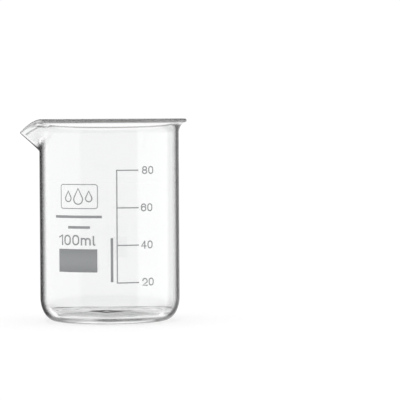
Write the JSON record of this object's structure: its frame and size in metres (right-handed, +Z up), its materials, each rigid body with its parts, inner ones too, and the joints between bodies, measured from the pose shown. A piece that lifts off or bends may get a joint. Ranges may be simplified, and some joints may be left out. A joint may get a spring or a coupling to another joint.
{
  "type": "low form glass beaker",
  "caption": "Low form laboratory beaker in clear glass with a flared rim, a pouring spout and a printed volume scale.",
  "frame": {"origin": "on the bench plane under the beaker, midway between the spout's tip and the rim opposite it; the glass's own axis stands 2.0 mm towards +X", "axes": "+Z up along the glass's axis, -X the way the spout points, -Y the way the printed scale faces"},
  "size_m": [0.0596, 0.0558, 0.0722],
  "materials": {
    "borosilicate_glass": "clear, fire polished",
    "grey_enamel": "opaque matt enamel fired onto the glass"
  },
  "bodies": {
    "root": {"glass_vessel": "borosilicate_glass", "badge_drop_left": "grey_enamel", "badge_drop_middle": "grey_enamel", "badge_drop_right": "grey_enamel", "badge_frame": "grey_enamel", "capacity_hundreds": "grey_enamel", "capacity_tens": "grey_enamel", "capacity_ones": "grey_enamel", "capacity_unit_m": "grey_enamel", "capacity_unit_l": "grey_enamel", "marking_spot": "grey_enamel", "number_20_tens": "grey_enamel", "number_20_ones": "grey_enamel", "number_40_tens": "grey_enamel", "number_40_ones": "grey_enamel", "number_60_tens": "grey_enamel", "number_60_ones": "grey_enamel", "number_80_tens": "grey_enamel", "number_80_ones": "grey_enamel", "rule_long": "grey_enamel", "rule_short": "grey_enamel", "rule_upright": "grey_enamel", "scale_lines": "grey_enamel"}
  },
  "joints": []
}
